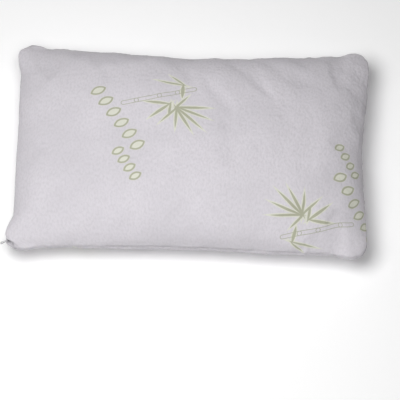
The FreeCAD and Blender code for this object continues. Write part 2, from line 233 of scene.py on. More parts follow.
def apply_modifiers(obj):
    """Replaces an object's mesh by what its modifiers make of it."""
    graph = bpy.context.evaluated_depsgraph_get()
    shown = obj.evaluated_get(graph)
    mesh = bpy.data.meshes.new_from_object(shown, preserve_all_data_layers=True, depsgraph=graph)
    obj.modifiers.clear()
    obj.data = mesh
    return mesh


def subdivided(obj, levels):
    """Catmull-Clark subdivision, applied."""
    modifier = obj.modifiers.new("smooth", "SUBSURF")
    modifier.levels = modifier.render_levels = levels
    return apply_modifiers(obj)


def tubes(name, paths, radius, reference, sides=6):
    """Round threads along paths. The reference direction is one that no path runs along."""
    angles = np.linspace(0, 2 * math.pi, sides, endpoint=False)
    vertices = []
    faces = []
    for path in paths:
        path = np.asarray(path, dtype=float)
        first = sum(map(len, vertices))
        tangent = np.gradient(path, axis=0)
        tangent /= np.linalg.norm(tangent, axis=1)[:, None]
        across = np.cross(tangent, reference)
        across /= np.linalg.norm(across, axis=1)[:, None]
        up = np.cross(across, tangent)
        rings = np.cos(angles)[None, :, None] * across[:, None]
        rings = rings + np.sin(angles)[None, :, None] * up[:, None]
        vertices.append((path[:, None] + radius * rings).reshape(-1, 3))
        for i in range(len(path) - 1):
            for k in range(sides):
                a = first + i * sides + k
                b = first + i * sides + (k + 1) % sides
                faces.append((a, a + sides, b + sides, b))
        faces.append(tuple(first + k for k in range(sides)))
        faces.append(tuple(first + (len(path) - 1) * sides + k for k in reversed(range(sides))))
    return new_object(name, np.concatenate(vertices), faces)


def finished(obj, body, slot, material, *replaced):
    """Gives a piece its material, parents it to the body it moves with, and hides the parts of the model that
    it stands for.
    """
    obj.data.materials.clear()
    obj.data.materials.append(material)
    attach(obj, body)
    if replaced:
        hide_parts(*replaced)
    return obj


# ---- shape of the filled cover -----------------------------------------------------------------------


def swell(cosine):
    """Share of the full rise: an ellipse's, made a little fuller towards the seam."""
    return cosine * (1 + FULLNESS * (1 - cosine**2))


def arc_length_table(half_span, rise):
    """Sine of the section's angle against the share of the cloth's length from the middle to the seam."""
    angle = np.linspace(0, math.pi / 2, SECTION_POINTS)
    across = half_span * np.sin(angle)
    up = rise * swell(np.cos(angle))
    length = np.concatenate([[0], np.cumsum(np.hypot(np.diff(across), np.diff(up)))])
    return length / length[-1], np.sin(angle)


def sines(tables, share, height):
    """Sine of a section's angle at shares of its length, between the tables of a flat and a full section."""
    at = height * (len(tables) - 1)
    low = min(int(at), len(tables) - 2)
    first = np.interp(share, *tables[low])
    second = np.interp(share, *tables[low + 1])
    return first + (second - first) * (at - low)


def pulled_in(from_corner, half_side, step, step_length, bow):
    """How far a side of the seam line stands in, at a distance along it from the nearest rounded corner."""
    return step * smooth_step(from_corner / step_length) + bow * smooth_step(from_corner / half_side)


def corner_radius(x):
    """Radius of the seam line's corners at the end that a point is nearer to."""
    return ZIP_CORNER_RADIUS if x < 0 else CORNER_RADIUS


def rounded_corner(x, y):
    """Moves a point of the plan inwards so that the seam line's corners are round."""
    radius = corner_radius(x)
    across = (abs(x) - EAR_X) / radius + 1
    along = (abs(y) - EAR_Y) / radius + 1
    if across <= 0 or along <= 0:
        return x, y
    new_x = EAR_X - radius + radius * across * math.sqrt(1 - along**2 / 2)
    new_y = EAR_Y - radius + radius * along * math.sqrt(1 - across**2 / 2)
    return math.copysign(new_x, x), math.copysign(new_y, y)


def zip_openness(y):
    """1 where the lips of the zip stand apart, 0 where the seam is sewn."""
    return float(smooth_step((ZIP_END - abs(y)) / ZIP_TAPER))


def placed(x, y, z, u, side):
    """Gives a point of the plan its pulled-in sides and the straight lips of the zip."""
    bow = REAR_BOW * (1 + REAR_BOW_SLANT * smooth_step(x / EAR_X)) if y > 0 else FRONT_BOW
    side_in = pulled_in(EAR_X - abs(x) - corner_radius(x), EAR_X, SIDE_STEP, SIDE_STEP_LENGTH, bow)
    new_y = y * (1 - side_in / EAR_Y)
    if x > 0:
        end_in = pulled_in(EAR_Y - abs(y) - CORNER_RADIUS, EAR_Y, END_STEP, END_STEP_LENGTH, END_BOW)
        return x * (1 - end_in / EAR_X), new_y, SEAM_Z + side * z
    new_x = x * -LIP_X / EAR_X
    near_lip = smooth_step((u - (1 - LIP_SHARE)) / LIP_SHARE) * max(0.0, 1 - z / LIP_HEIGHT)
    z += LIP_RISE * zip_openness(new_y) * near_lip
    return new_x, new_y, SEAM_Z + side * z


def panel_grid(side):
    """Points of one filled panel, indexed [long][wide], above (side 1) or below (side -1) the seam."""
    rise = CROWN if side > 0 else BELLY
    rises = rise * np.linspace(0, 1, SECTION_TABLES)
    long_tables = [arc_length_table(EAR_X, r) for r in rises]
    wide_tables = [arc_length_table(EAR_Y, r) for r in rises]
    grid = np.empty((CELLS_LONG + 1, CELLS_WIDE + 1, 3))
    for i in range(CELLS_LONG + 1):
        p = 2 * i / CELLS_LONG - 1
        u_middle = min(1.0, sines(long_tables, abs(p), 1.0))
        for j in range(CELLS_WIDE + 1):
            q = 2 * j / CELLS_WIDE - 1
            v_middle = min(1.0, sines(wide_tables, abs(q), 1.0))
            u = min(1.0, sines(long_tables, abs(p), swell(math.sqrt(1 - v_middle**2))))
            v = min(1.0, sines(wide_tables, abs(q), swell(math.sqrt(1 - u_middle**2))))
            z = rise * swell(math.sqrt((1 - u * u) * (1 - v * v)))
            x = math.copysign(u, p) * EAR_X
            y = math.copysign(v, q) * EAR_Y
            grid[i, j] = placed(*rounded_corner(x, y), z, u, side)
    return grid


def on_border(i, j):
    """Whether a grid point lies on the edge of its panel."""
    return i in (0, CELLS_LONG) or j in (0, CELLS_WIDE)


def filled_cover():
    """Both panels in one closed mesh, with the index in it of each grid point.

    Material 0 is the top panel, 1 the bottom panel, 2 the strip that closes the zip while the cloth settles.
    """
    grids = {side: panel_grid(side) for side in (1, -1)}
    index = {}
    points = []
    cuts = []
    for side in (1, -1):
        for i in range(CELLS_LONG + 1):
            for j in range(CELLS_WIDE + 1):
                point = grids[side][i, j]
                sewn = on_border(i, j) and not (i == 0 and zip_openness(point[1]) > ZIP_OPEN)
                if sewn:
                    point[2] = SEAM_Z
                if sewn and side < 0:
                    index[side, i, j] = index[1, i, j]
                    continue
                index[side, i, j] = len(points)
                points.append(point)
                flat = (i / CELLS_LONG - 0.5) * CUT_LENGTH, (j / CELLS_WIDE - 0.5) * CUT_WIDTH
                cuts.append((*flat, side))
    faces = []
    for side in (1, -1):
        for i in range(CELLS_LONG):
            for j in range(CELLS_WIDE):
                corners = [(i, j), (i + 1, j), (i + 1, j + 1), (i, j + 1)][::side]
                faces.append([index[side, a, b] for a, b in corners])
    panel = [0] * (len(faces) // 2) + [1] * (len(faces) // 2)
    for j in range(CELLS_WIDE):
        ring = [index[1, 0, j], index[1, 0, j + 1], index[-1, 0, j + 1], index[-1, 0, j]]
        ring = list(dict.fromkeys(ring))  # Where the seam is sewn, both panels share a point.
        if len(ring) > 2:
            faces.append(ring)
            panel.append(2)
    obj = new_object("cover_cloth", points, faces)
    for number in range(3):
        obj.data.materials.append(bpy.data.materials.new(f"panel_{number}"))
    obj.data.polygons.foreach_set("material_index", panel)
    write_cut(obj.data, cuts)
    return obj, index


def settled(obj, index):
    """Points of the cover, blown up against seams that are sewn shorter than the cloth beside them."""
    scene = bpy.context.scene
    lips = {index[side, 0, j] for side in (1, -1) for j in range(CELLS_WIDE + 1)}
    spots = ((i, j) for i in range(CELLS_LONG + 1) for j in range(CELLS_WIDE + 1))
    seam = {index[1, i, j] for i, j in spots if on_border(i, j)}
    held = obj.vertex_groups.new(name="held")
    held.add(list(range(len(obj.data.vertices))), FILLING_HOLD, "REPLACE")
    held.add(sorted(lips), 1.0, "REPLACE")
    gathered = obj.vertex_groups.new(name="gathered")
    gathered.add(sorted(seam - lips), 1.0, "REPLACE")
    modifier = obj.modifiers.new("cloth", "CLOTH")
    cloth = modifier.settings
    cloth.quality = 5
    cloth.mass = 0.2
    cloth.air_damping = 2.0
    cloth.tension_stiffness = 18
    cloth.compression_stiffness = 18
    cloth.shear_stiffness = 6
    cloth.bending_stiffness = CLOTH_BENDING
    cloth.use_pressure = True
    cloth.uniform_pressure_force = FILLING_PRESSURE
    cloth.vertex_group_mass = held.name
    cloth.shrink_max = SEAM_GATHER
    cloth.vertex_group_shrink = gathered.name
    cloth.effector_weights.gravity = 0
    modifier.collision_settings.use_collision = False
    modifier.point_cache.frame_start = 1
    modifier.point_cache.frame_end = SETTLE_FRAMES
    for step in range(1, SETTLE_FRAMES + 1):
        scene.frame_set(step)
    points = read_points(apply_modifiers(obj))
    scene.frame_set(1)
    return points


def averaged(values, edges, passes):
    """Repeated mean of each vertex's value with its neighbours'."""
    count = np.bincount(edges.ravel(), minlength=len(values))[:, None]
    for _ in range(passes):
        total = np.zeros_like(values)
        np.add.at(total, edges[:, 0], values[edges[:, 1]])
        np.add.at(total, edges[:, 1], values[edges[:, 0]])
        values = 0.5 * (values + total / count)
    return values


def crease(obj, index):
    """Adds the folds that settling gives the cloth, but not the cover's drift as a whole."""
    base = read_points(obj.data)
    edges = np.array([tuple(edge.vertices) for edge in obj.data.edges])
    moved = settled(obj, index) - base
    folds = moved - averaged(moved, edges, DRIFT_PASSES)
    size = np.linalg.norm(folds, axis=1)[:, None] + 1e-9
    folds *= FOLD_LIMIT * np.tanh(FOLD_STRENGTH * size / FOLD_LIMIT) / size
    from_lips = np.hypot(base[:, 0] - LIP_X, base[:, 2] - SEAM_Z)
    folds *= smooth_step(from_lips / LIP_CALM)[:, None]
    write_points(obj.data, base + folds)


def rest_on_floor(points):
    """Flattens the underside where the pillow lies on it, with a soft edge."""
    z = points[:, 2]
    low = z < REST_SOFTNESS
    z[low] = REST_SOFTNESS * np.exp(z[low] / REST_SOFTNESS - 1)


def puff_corners(points):
    """Swells the corners beside the zip above and below the seam that its ends pull in."""
    x, y, z = points.T
    from_seam = np.abs(z - SEAM_Z) - PUFF_HEIGHT
    lobe = np.exp(-((from_seam / np.where(from_seam < 0, PUFF_SPREAD_IN, PUFF_SPREAD_OUT)) ** 2))
    near_corner = smooth_step((np.abs(y) - EAR_Y + ZIP_CORNER_RADIUS + PUFF_LENGTH) / PUFF_LENGTH)
    near_side = smooth_step((-x - PUFF_START) / PUFF_GROWTH)
    points[:, 0] -= np.where(y < 0, FRONT_PUFF, REAR_PUFF) * near_corner * near_side * lobe


def seam_distance(cut, points):
    """Length of cloth from each point to the nearest sewn seam."""
    to_end = CUT_LENGTH / 2 - np.abs(cut[:, 0])
    to_end[(cut[:, 0] < 0) & (np.abs(points[:, 1]) < ZIP_END)] = CUT_LENGTH
    return np.minimum(to_end, CUT_WIDTH / 2 - np.abs(cut[:, 1]))


def surface_relief(points, cut):
    """How far the cloth stands out: lumps of foam, the turned seam, its puckers, and the crinkled knit."""
    to_seam = seam_distance(cut, points)
    calm = smooth_step(np.hypot(points[:, 0] - LIP_X, points[:, 2] - SEAM_Z) / RELIEF_CALM)
    foam = layered_lumps(points, FOAM_LUMPS)
    pucker = lumps(points, PUCKER_LENGTH, PUCKER_SEED)
    groove = -GROOVE_DEPTH * np.exp(-((to_seam / GROOVE_WIDTH) ** 2))
    roll = (ROLL_HEIGHT + ROLL_PUCKER * pucker) * np.exp(-(((to_seam - ROLL_PLACE) / ROLL_WIDTH) ** 2))
    gathers = GATHER_DEPTH * pucker * np.exp(-to_seam / GATHER_REACH)
    crinkle = layered_lumps(points, CRINKLE)
    loose = foam * smooth_step(to_seam / FOAM_LUMPS_REACH) + crinkle
    return loose * calm + groove + roll + gathers * calm


def panel_object(cover, name, number):
    """One panel of the cover as an object of its own."""
    obj = copied(cover, name)
    shape = bmesh.new()
    shape.from_mesh(obj.data)
    others = [face for face in shape.faces if face.material_index != number]
    bmesh.ops.delete(shape, geom=others, context="FACES")
    for face in shape.faces:
        face.material_index = 0
    shape.to_mesh(obj.data)
    shape.free()
    return obj


def turn_lip_in(obj, side):
    """Folds the edge of a panel in at the zip, so that it lies against the outer face of the tape."""
    shape = bmesh.new()
    shape.from_mesh(obj.data)

    def is_lip(vertex):
        return vertex.co.x < LIP_X + LIP_EDGE_REACH and side * (vertex.co.z - SEAM_Z) > LIP_EDGE_RISE

    border = (e for e in shape.edges if e.is_boundary and abs(e.verts[0].co.y) < ZIP_END)
    edges = [e for e in border if any(map(is_lip, e.verts))]
    start = {v: v.co.copy() for e in edges for v in e.verts}
    for into, away in LIP_TURN:
        made = bmesh.ops.extrude_edge_only(shape, edges=edges)["geom"]
        new_edges = [g for g in made if isinstance(g, bmesh.types.BMEdge)]
        new_start = {}
        for vertex in (g for g in made if isinstance(g, bmesh.types.BMVert)):
            old = next(e.other_vert(vertex) for e in vertex.link_edges if e.other_vert(vertex) in start)
            origin = start[old]
            opened = zip_openness(origin.y)
            vertex.co = origin + Vector((into * opened, 0, side * away * opened))
            new_start[vertex] = origin
        start = new_start
        edges = new_edges
    for face in shape.faces:
        face.smooth = True
    bmesh.ops.recalc_face_normals(shape, faces=shape.faces)
    shape.to_mesh(obj.data)
    shape.free()


def shrunk(points, low, high):
    """Points of the cover brought in all round to the box of a layer inside it."""
    above = points[:, 2] > SEAM_Z
    up = (high.z - SEAM_Z - SPARE_ABOVE) / CROWN
    down = (SEAM_Z - low.z - SPARE_BELOW) / SEAM_Z
    x = points[:, 0] * high.x / HALF_LENGTH
    y = points[:, 1] * high.y / HALF_WIDTH
    z = SEAM_Z + (points[:, 2] - SEAM_Z) * np.where(above, up, down)
    return np.stack([x, y, z], axis=1)


def liner_panel(name, coarse, number):
    """Panel of the liner: the cover's shape, smaller all round, and sewn shut where the cover has its zip."""
    obj = panel_object(coarse, name, number)
    points = read_points(obj.data)
    points[read_cut(obj.data)[:, 0] < -CUT_LENGTH / 2 + 1e-4, 2] = SEAM_Z
    write_points(obj.data, shrunk(points, LINER_LOW, LINER_HIGH))
    return obj


# ---- sewn and small pieces ---------------------------------------------------------------------------

THREAD = 0.00022
OVERLOCK_STEP = 0.0014
OVERLOCK_RISE = 0.0010
OVERLOCK_INSIDE = 0.0041
# The liner's overlock lies on the outside of its seam.
LINER_OVERLOCK_INSIDE = -0.0008
# How many steps of an overlock stop short of each end of its seam.
OVERLOCK_SHORT = 5
COIL_WIRE = 0.00028
COIL_PITCH = 0.0012
COIL_TURN_POINTS = 12
COIL_HEAD = 0.00015
COIL_SQUARENESS = 0.7
# Share of a pitch by which the upper and the lower coil start late, so that their heads mesh.
COIL_PHASE = {1: 0.75, -1: 0.25}
TACK_STAND_OUT = 1.5 * THREAD
TACK_CROWN = 3 * THREAD
STITCH_PITCH = 0.0035
STITCH_LENGTH = 0.0026
STITCH_POINTS = 7
# The stitches run this much further from the seam than the middle of the band they are in.
STITCH_OUTWARDS = 0.0012
# The ends of a stitch sink in; at 1 they would be level with the cloth.
STITCH_SINK = 2.2
LABEL_CELLS = 15
LABEL_ROWS = 32
LABEL_GAP = 0.0007
LABEL_APART = 0.0001
LABEL_FOLD = 1.02
LABEL_WAVE = 0.0006
LABEL_INSIDE = 0.0058
LABEL_LEAN = 0.0010
# Edges sharper than this are broken on the castings; faces flatter than the other are made one first.
SHARP_ANGLE = math.radians(30)
FLAT_ANGLE = math.radians(1)
WELD_DISTANCE = 1e-6
SLIDER_EDGE = 0.00018
PULL_EDGE = 0.00022


def seam_line(points, index):
    """Sewn seam of the cover as one path, from the front end of the zip round to its rear end."""
    front = [(i, 0) for i in range(CELLS_LONG + 1)]
    right = [(CELLS_LONG, j) for j in range(1, CELLS_WIDE + 1)]
    rear = [(i, CELLS_WIDE) for i in range(CELLS_LONG - 1, -1, -1)]
    return np.array([points[index[1, i, j]] for i, j in front + right + rear])


def liner_seam_line(points, index):
    """Seam of the liner, which also runs past the zip."""
    beside_zip = np.array([points[index[1, 0, j]] for j in range(CELLS_WIDE - 1, 0, -1)])
    beside_zip[:, 2] = SEAM_Z
    return shrunk(np.concatenate([seam_line(points, index), beside_zip]), LINER_LOW, LINER_HIGH)


def resampled(path, step):
    """The path with its points evenly spaced."""
    along = np.concatenate([[0], np.cumsum(np.linalg.norm(np.diff(path, axis=0), axis=1))])
    places = np.linspace(0, along[-1], int(along[-1] / step))
    return np.stack([np.interp(places, along, path[:, k]) for k in range(3)], axis=1)


def overlock(name, line, inside):
    """Zigzag of thread round the edge of the seam allowance, just inside a seam line."""
    path = resampled(line, OVERLOCK_STEP)[OVERLOCK_SHORT:-OVERLOCK_SHORT]
    tangent = np.gradient(path, axis=0)
    inwards = np.cross((0, 0, 1), tangent)
    inwards /= np.linalg.norm(inwards, axis=1)[:, None]
    path += inwards * inside
    path[:, 2] += OVERLOCK_RISE * (-1.0) ** np.arange(len(path))
    return tubes(name, [path], THREAD, (0.0, 0.0, 1.0), sides=5)


def coil(name, side):
    """Monofilament coil of one side of the chain. Its heads mesh with those of the other side."""
    turns = int((COIL_HIGH.y - COIL_LOW.y) / COIL_PITCH) - 1
    t = np.arange(turns * COIL_TURN_POINTS + 1) / COIL_TURN_POINTS
    angle = 2 * math.pi * t
    outer = COIL_HIGH.z - SEAM_Z - COIL_WIRE
    middle = (outer - COIL_HEAD) / 2
    depth = (COIL_HIGH.x - COIL_LOW.x) / 2 - COIL_WIRE

    def squared(value):
        return np.sign(value) * np.abs(value) ** COIL_SQUARENESS

    x = (COIL_HIGH.x + COIL_LOW.x) / 2 + depth * squared(np.sin(angle))
    y = COIL_LOW.y + COIL_PITCH * (t + COIL_PHASE[side])
    z = SEAM_Z + side * (middle + (outer - middle) * squared(np.cos(angle)))
    return tubes(name, [np.stack([x, y, z], axis=1)], COIL_WIRE, (0.0, 1.0, 0.0))


def end_tack(name, end):
    """Bar tack of satin stitches across both tapes at one end of the chain."""
    rows = 2 * int((TACK_HIGH.z - TACK_LOW.z) / (2 * THREAD))
    z = np.linspace(TACK_LOW.z + THREAD, TACK_HIGH.z - THREAD, rows)
    turn = (-1.0) ** np.arange(rows)
    y = end * (TACK_LOW.y + TACK_HIGH.y) / 2 + turn * ((TACK_HIGH.y - TACK_LOW.y) / 2 - THREAD)
    x = np.full(rows, TAPE_FACE_X - TACK_STAND_OUT)
    crown = TACK_CROWN * np.sin(np.linspace(0, math.pi, rows))
    return tubes(name, [np.stack([x - crown, y, z], axis=1)], THREAD, (1.0, 0.0, 0.0))


def stitches(name, panel, side):
    """Row of stitches through the folded edge of a panel, each one pulled a little into the cloth."""
    mesh = panel.data
    tree = BVHTree.FromPolygons([v.co for v in mesh.vertices], [p.vertices for p in mesh.polygons])
    height = SEAM_Z + side * ((STITCH_LOW.z + STITCH_HIGH.z) / 2 - SEAM_Z + STITCH_OUTWARDS)
    paths = []
    for y in np.arange(STITCH_LOW.y + STITCH_LENGTH / 2, STITCH_HIGH.y, STITCH_PITCH):
        path = []
        for share in np.linspace(-1, 1, STITCH_POINTS):
            found = tree.ray_cast(Vector((-1, y + share * STITCH_LENGTH / 2, height)), Vector((1, 0, 0)))
            raised = THREAD * (1 - STITCH_SINK * share**4)
            path.append(found[0] + Vector((-raised, 0, 0)))
        paths.append(path)
    return tubes(name, paths, THREAD, (0.0, 0.0, 1.0))


def care_label(name, seam_x):
    """Blank satin label, folded in half over its end, hanging inside the cover's end seam."""
    width = LABEL_HIGH.y - LABEL_LOW.y
    drop = LABEL_HIGH.z - LABEL_LOW.z
    vertices = []
    for j in range(LABEL_ROWS + 1):
        t = j / LABEL_ROWS
        down = 1 - abs(2 * t - 1)
        opened = LABEL_GAP * math.sin(math.pi * min(1.0, down * LABEL_FOLD)) * (1 if t > 0.5 else -1)
        opened += LABEL_APART * (2 * t - 1)
        for i in range(LABEL_CELLS + 1):
            s = i / LABEL_CELLS - 0.5
            wave = LABEL_WAVE * math.sin(5 * s + 2 * down)
            x = seam_x - LABEL_INSIDE - LABEL_LEAN * down + opened + wave
            vertices.append((x, s * width, LABEL_HIGH.z - down * drop))
    faces = []
    row = LABEL_CELLS + 1
    for j in range(LABEL_ROWS):
        for i in range(LABEL_CELLS):
            a = j * row + i
            faces.append((a, a + 1, a + 1 + row, a + row))
    return new_object(name, vertices, faces)


def bevelled_copy(node, name, width):
    """Copy of a cast or moulded piece with its edges broken."""
    obj = copied(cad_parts[node], name)
    shape = bmesh.new()
    shape.from_mesh(obj.data)
    bmesh.ops.remove_doubles(shape, verts=shape.verts, dist=WELD_DISTANCE)
    bmesh.ops.dissolve_limit(shape, angle_limit=FLAT_ANGLE, verts=shape.verts, edges=shape.edges)
    shape.to_mesh(obj.data)
    shape.free()
    bevel = obj.modifiers.new("broken edges", "BEVEL")
    bevel.width = width
    bevel.segments = 2
    bevel.limit_method = "ANGLE"
    bevel.angle_limit = SHARP_ANGLE
    apply_modifiers(obj)
    return obj


def foam_crumbs(coarse):
    """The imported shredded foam: one closed body whose surface is the crumbs that show through its liner."""
    obj = copied(coarse, "foam_crumbs")
    subdivided(obj, 1)
    points = shrunk(read_points(obj.data), FOAM_LOW, FOAM_HIGH)
    inset = CRUMB_INSET + CRUMB_DEPTH * np.abs(lumps(points, CRUMB_SIZE, CRUMB_SEED))
    points -= read_normals(obj.data) * inset[:, None]
    write_points(obj.data, points)
    return obj


# ---- materials ---------------------------------------------------------------------------------------


class Surface:
    """Principled material whose nodes are added one at a time."""

    def __init__(self, name, roughness, **constants):
        self.material = bpy.data.materials.new(name)
        self.material.use_nodes = True
        self.tree = self.material.node_tree
        self.shader = self.tree.nodes["Principled BSDF"]
        self.shader.inputs["Roughness"].default_value = roughness
        for socket, value in constants.items():
            self.shader.inputs[socket.replace("_", " ")].default_value = value
        self.height = None

    def node(self, kind, inputs, **settings):
        """Adds a node, with its inputs linked or set."""
        made = self.tree.nodes.new(f"ShaderNode{kind}")
        for key, value in settings.items():
            setattr(made, key, value)
        for key, value in inputs.items():
            if isinstance(value, bpy.types.NodeSocket):
                self.tree.links.new(value, made.inputs[key])
            else:
                made.inputs[key].default_value = value
        return made

    def maths(self, operation, first, second=0.0, clamp=False):
        """Result of a sum on numbers."""
        made = self.node("Math", {0: first, 1: second}, operation=operation, use_clamp=clamp)
        return made.outputs[0]

    def ramp(self, value, start, end, low=0.0, high=1.0):
        """Value taken smoothly from low to high between a start and an end."""
        inputs = {"Value": value, "From Min": start, "From Max": end, "To Min": low, "To Max": high}
        return self.node("MapRange", inputs, interpolation_type="SMOOTHSTEP").outputs[0]

    def mixed(self, factor, first, second):
        """Colour between two colours."""
        made = self.node("Mix", {0: factor, 6: first, 7: second}, data_type="RGBA")
        return made.outputs[2]

    def bump(self, height, distance, strength=1.0):
        """Adds relief of a real depth to the surface."""
        inputs = {"Height": height, "Distance": distance, "Strength": strength}
        if self.height is not None:
            inputs["Normal"] = self.height
        self.height = self.node("Bump", inputs).outputs[0]

    def done(self, colour):
        """Connects the colour and the relief."""
        self.tree.links.new(colour, self.shader.inputs["Base Color"])
        if self.height is not None:
            self.tree.links.new(self.height, self.shader.inputs["Normal"])
        return self.material

    def place(self):
        """Place on the object, in metres."""
        return self.node("TexCoord", {}).outputs["Object"]

    def cut(self):
        """Place on the flat cloth, in metres."""
        return self.node("Attribute", {}, attribute_name="cut").outputs["Vector"]

    def stripes(self, place, pitch, direction):
        """Sine bands with a pitch, across X, Y, Z or the diagonal."""
        inputs = {"Vector": place, "Scale": 2 * math.pi / (20 * pitch)}
        return self.node("TexWave", inputs, bands_direction=direction).outputs["Fac"]

    def noise(self, place, wavelength, detail=2.0):
        """Cloudy noise of a wavelength."""
        inputs = {"Vector": place, "Scale": 1 / wavelength, "Detail": detail}
        return self.node("TexNoise", inputs).outputs[0]


KNIT_LIGHT = (0.68, 0.652, 0.692, 1.0)
KNIT_SHADE = (0.635, 0.610, 0.648, 1.0)
# Painted shade: the colour that the pits of the pebbled grain are darkened towards.
KNIT_PIT_SHADE = (0.53, 0.51, 0.54, 1.0)
PRINT_PALE = (0.70, 0.705, 0.60, 1.0)
PRINT_LINE = (0.37, 0.375, 0.27, 1.0)
PRINT_STRENGTH = 0.85
# How far the edges of the print waver, and over what length.
PRINT_WEAR = 0.0006
PRINT_WEAR_LENGTH = 0.0019
# Sizes in the knit: its loops, the pebbled grain, and the clouds of slightly darker cloth.
LOOP_WIDTH = 0.0013
LOOP_HEIGHT = 0.0016
LOOP_DEPTH = 0.00025
GRAIN_SIZE = 0.0040
GRAIN_DEPTH = 0.0007
GRAIN_ACROSS = 0.6
CLOUD_SIZE = 0.16
# Grain below the first level gets the full painted pit shade, above the second none; and how strongly a full
# pit is painted with that shade.
PIT_SHADE_LEVELS = (0.30, 0.62)
PIT_SHADE_SHARE = 0.42

# Leaves of the printed sprig in millimetres on the top panel: where each grows, its tip, and half its width.
SPRIG_LEAVES = [
    ((-6, 109), (-64, 122), 1.8),
    ((-8, 109), (-38, 134), 1.6),
    ((-13, 114), (-14, 78), 3.4),
    ((-36, 63), (-88, 69), 2.6),
    ((-34, 67), (-78, 30), 2.8),
    ((-36, 68), (-40, 34), 2.4),
    ((-30, 50), (-2, 82), 2.2),
    ((-32, 55), (42, 56), 2.5),
    ((-30, 58), (40, 30), 2.4),
    ((-30, 60), (28, 6), 2.6),
    ((-30, 62), (6, 0), 2.6),
    ((-24, 62), (-26, 6), 2.4),
    ((-18, 60), (-56, 20), 2.2),
]
# Cane of the sprig: the points where its joints are, and half its thickness.
SPRIG_CANE = [(-132, 64), (-106, 71), (-60, 83), (-24, 92), (10, 101)]
CANE_HALF = 4.4
# Two rows of plain ovals beside the sprig: first centre, last centre, how many, half length and half width.
OVAL_ROWS = [((-184, 92), (-100, -34), 6, 15.0, 8.0), ((-138, -48), (-102, -102), 4, 12.0, 6.5)]
OVAL_LEAN = math.radians(30)
# Half the widths of the printed lines, how soft their edges are, and how far the pale ground reaches.
OVAL_LINE = 0.0016
CANE_LINE = 0.0005
INK_EDGE = 0.0010
GROUND_REACH = 0.0026
# How far the whole print is moved on the cloth.
SPRIG_OFFSET = (-0.008, 0.004)
# The sprig is printed again, turned half round about this point.
SPRIG_TURN = (0.106, -0.058)


def lens(base, tip, half_width):
    """The two circles whose overlap is a leaf from its base to its tip: both centres and their radius."""
    base = Vector(base) / 1000
    tip = Vector(tip) / 1000
    half_width = half_width / 1000
    half = (tip - base).length / 2
    radius = (half**2 + half_width**2) / (2 * half_width)
    aside = Vector((base.y - tip.y, tip.x - base.x)).normalized() * (radius - half_width)
    middle = (base + tip) / 2
    return middle + aside, middle - aside, radius


def oval_shapes():
    """The lenses of both rows of ovals."""
    shapes = []
    for first, last, count, half_long, half_wide in OVAL_ROWS:
        step = (Vector(last) - Vector(first)) / (count - 1)
        lean = Vector((math.cos(OVAL_LEAN), math.sin(OVAL_LEAN))) * half_long
        for k in range(count):
            centre = Vector(first) + step * k
            shapes.append(lens(centre - lean, centre + lean, half_wide))
    return shapes


def lens_distance(surface, place, shapes):
    """Distance outside the nearest lens, negative inside it."""
    nearest = None
    for one, other, radius in shapes:
        ends = []
        for centre in (one, other):
            inputs = {0: place, 1: (centre.x, centre.y, 0.0)}
            ends.append(surface.node("VectorMath", inputs, operation="DISTANCE").outputs["Value"])
        inside = surface.maths("SUBTRACT", surface.maths("MAXIMUM", *ends), radius)
        nearest = inside if nearest is None else surface.maths("MINIMUM", nearest, inside)
    return nearest


def cane_distance(surface, place):
    """Distance from the drawn sides of the cane, each length of which is rounded off at its joints."""
    nearest = None
    for start, end in zip(SPRIG_CANE, SPRIG_CANE[1:]):
        start = Vector((*start, 0)) / 1000
        along = Vector((*end, 0)) / 1000 - start
        inputs = {0: place, 1: tuple(start)}
        from_start = surface.node("VectorMath", inputs, operation="SUBTRACT").outputs["Vector"]
        inputs = {0: from_start, 1: tuple(along / along.length_squared)}
        share = surface.node("VectorMath", inputs, operation="DOT_PRODUCT").outputs["Value"]
        share = surface.maths("ADD", share, 0.0, clamp=True)
        inputs = {0: tuple(along), "Scale": share}
        foot = surface.node("VectorMath", inputs, operation="SCALE").outputs["Vector"]
        off = surface.node("VectorMath", {0: from_start, 1: foot}, operation="DISTANCE").outputs["Value"]
        side = surface.maths("ABSOLUTE", surface.maths("SUBTRACT", off, CANE_HALF / 1000))
        nearest = side if nearest is None else surface.maths("MINIMUM", nearest, side)
    return nearest


